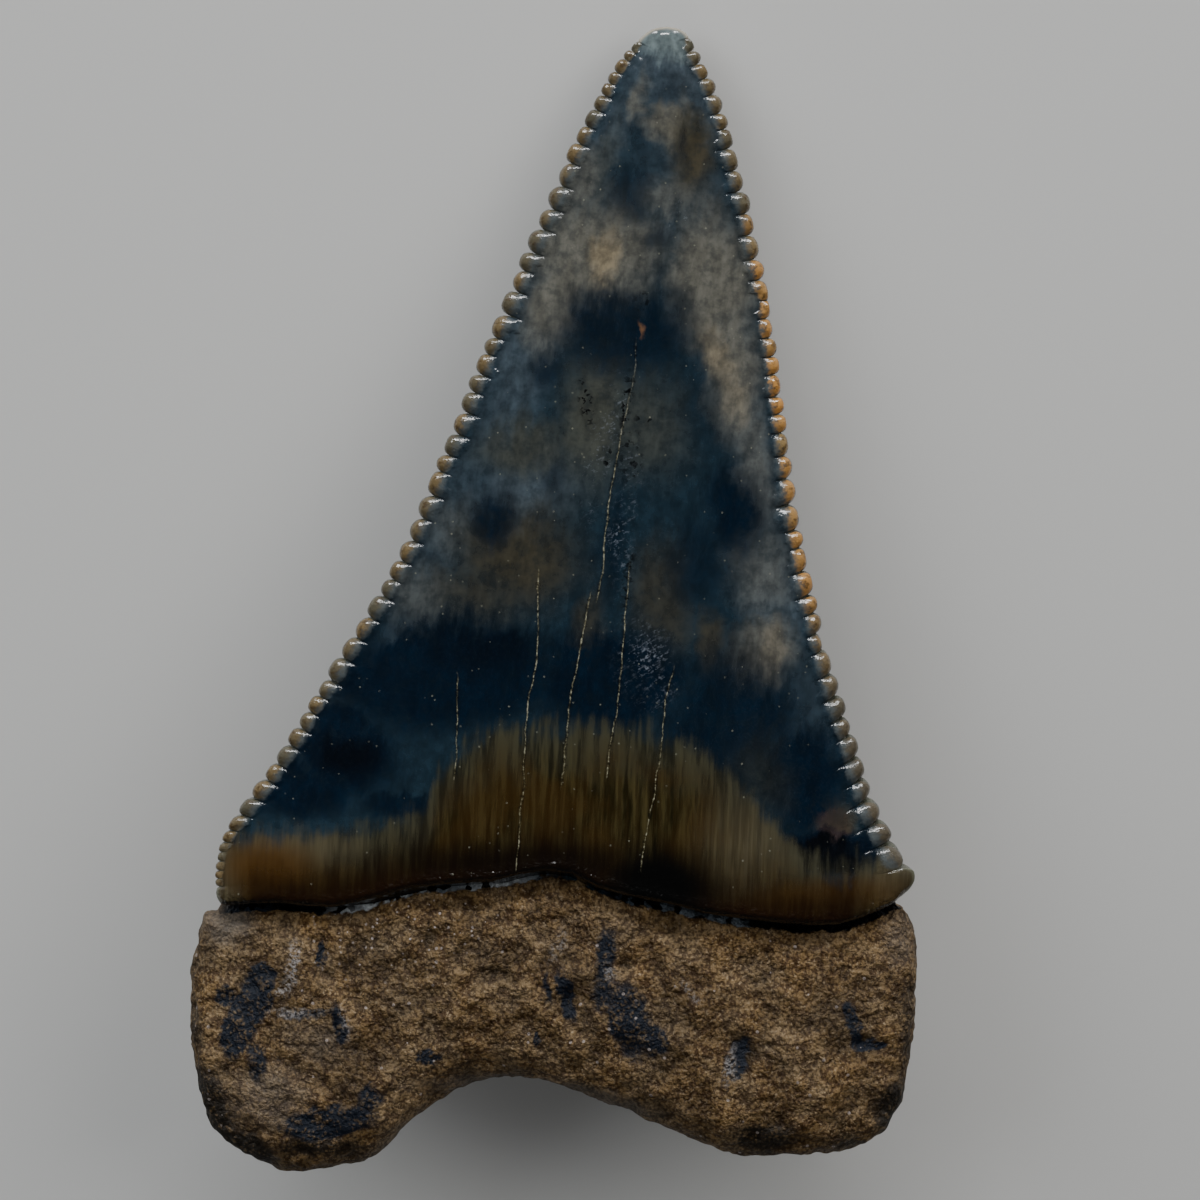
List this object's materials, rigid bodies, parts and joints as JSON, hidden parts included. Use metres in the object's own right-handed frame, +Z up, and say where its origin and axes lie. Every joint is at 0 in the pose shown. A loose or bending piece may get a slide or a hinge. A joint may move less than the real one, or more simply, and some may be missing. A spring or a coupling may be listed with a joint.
{
  "type": "fossil great white shark tooth",
  "caption": "Fossil great white shark tooth: a glossy serrated triangular crown on a thick, rough, two-lobed root, lying on its inner face.",
  "frame": {"origin": "under the middle of the tooth's bounding box, on the surface that it rests on", "axes": "+Y runs along the tooth from the root's lobes to the tip, +X across the blade with the tip leaning towards +X, +Z up out of the flatter outer face"},
  "size_m": [0.0344, 0.0534, 0.0129],
  "materials": {
    "fossil": "glossy blue-black enamel with olive and tan clouds on the crown, rough matt brown on the root"
  },
  "bodies": {
    "root": {"tooth": "fossil"}
  },
  "joints": []
}
